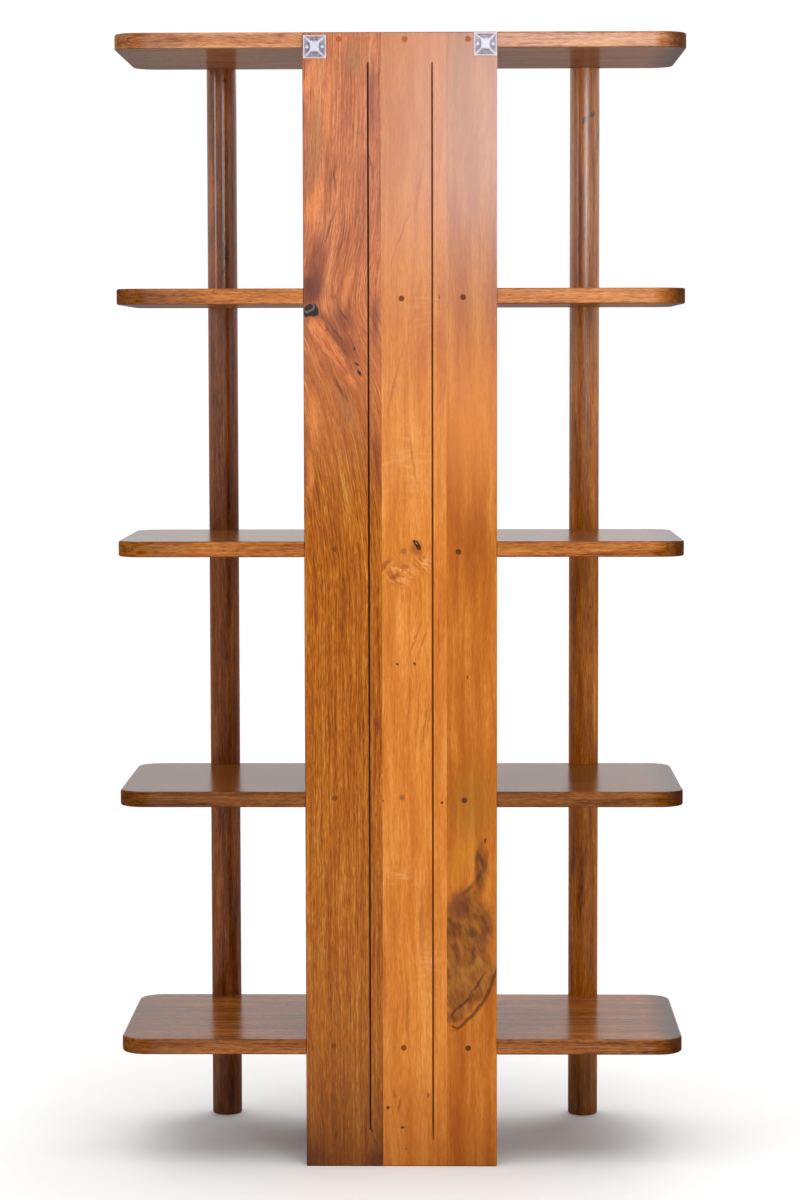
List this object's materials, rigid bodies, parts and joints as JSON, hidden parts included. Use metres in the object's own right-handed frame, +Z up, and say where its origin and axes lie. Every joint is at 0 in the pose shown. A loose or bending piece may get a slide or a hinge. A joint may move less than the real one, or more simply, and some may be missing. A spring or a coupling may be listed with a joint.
{
  "type": "open bookcase",
  "caption": "Tall open bookcase in lacquered hardwood: round-cornered shelves housed on a wide back panel and round front poles, with anti-tip brackets.",
  "frame": {"origin": "on the floor, at the middle of the unit's bounding box", "axes": "+Z up. The poles are at the front, -Y, and the back panel with its brackets looks to +Y. +X is the unit's right as seen from the front, so it is the picture's left."},
  "size_m": [0.9, 0.41, 1.8],
  "materials": {
    "back_wood": "clear satin lacquer on oiled hardwood, orange brown",
    "shelf_wood": "clear satin lacquer on hardwood, reddish brown",
    "dark_pole_wood": "clear gloss lacquer on hardwood, dark red brown",
    "golden_pole_wood": "clear gloss lacquer on hardwood, golden brown",
    "plug_wood": "end grain hardwood plugs under clear lacquer",
    "bracket_plastic": "injection moulded clear polycarbonate",
    "screw_steel": "zinc plated steel wood screws"
  },
  "bodies": {
    "root": {"back_board_wide": "back_wood", "back_board_middle": "back_wood", "back_board_narrow": "back_wood", "shelf_1_back_stave": "shelf_wood", "shelf_1_middle_stave": "shelf_wood", "shelf_1_front_stave": "shelf_wood", "shelf_2_back_stave": "shelf_wood", "shelf_2_middle_stave": "shelf_wood", "shelf_2_front_stave": "shelf_wood", "shelf_3_back_stave": "shelf_wood", "shelf_3_middle_stave": "shelf_wood", "shelf_3_front_stave": "shelf_wood", "shelf_4_back_stave": "shelf_wood", "shelf_4_middle_stave": "shelf_wood", "shelf_4_front_stave": "shelf_wood", "shelf_5_back_stave": "shelf_wood", "shelf_5_middle_stave": "shelf_wood", "shelf_5_front_stave": "shelf_wood", "pole_right": "dark_pole_wood", "pole_left": "golden_pole_wood", "panel_screws": "screw_steel", "panel_plugs": "plug_wood", "pole_screws": "screw_steel", "pole_plugs": "plug_wood", "anti_tip_bracket_right": "bracket_plastic", "anti_tip_bracket_left": "bracket_plastic", "bracket_screws": "screw_steel"}
  },
  "joints": []
}
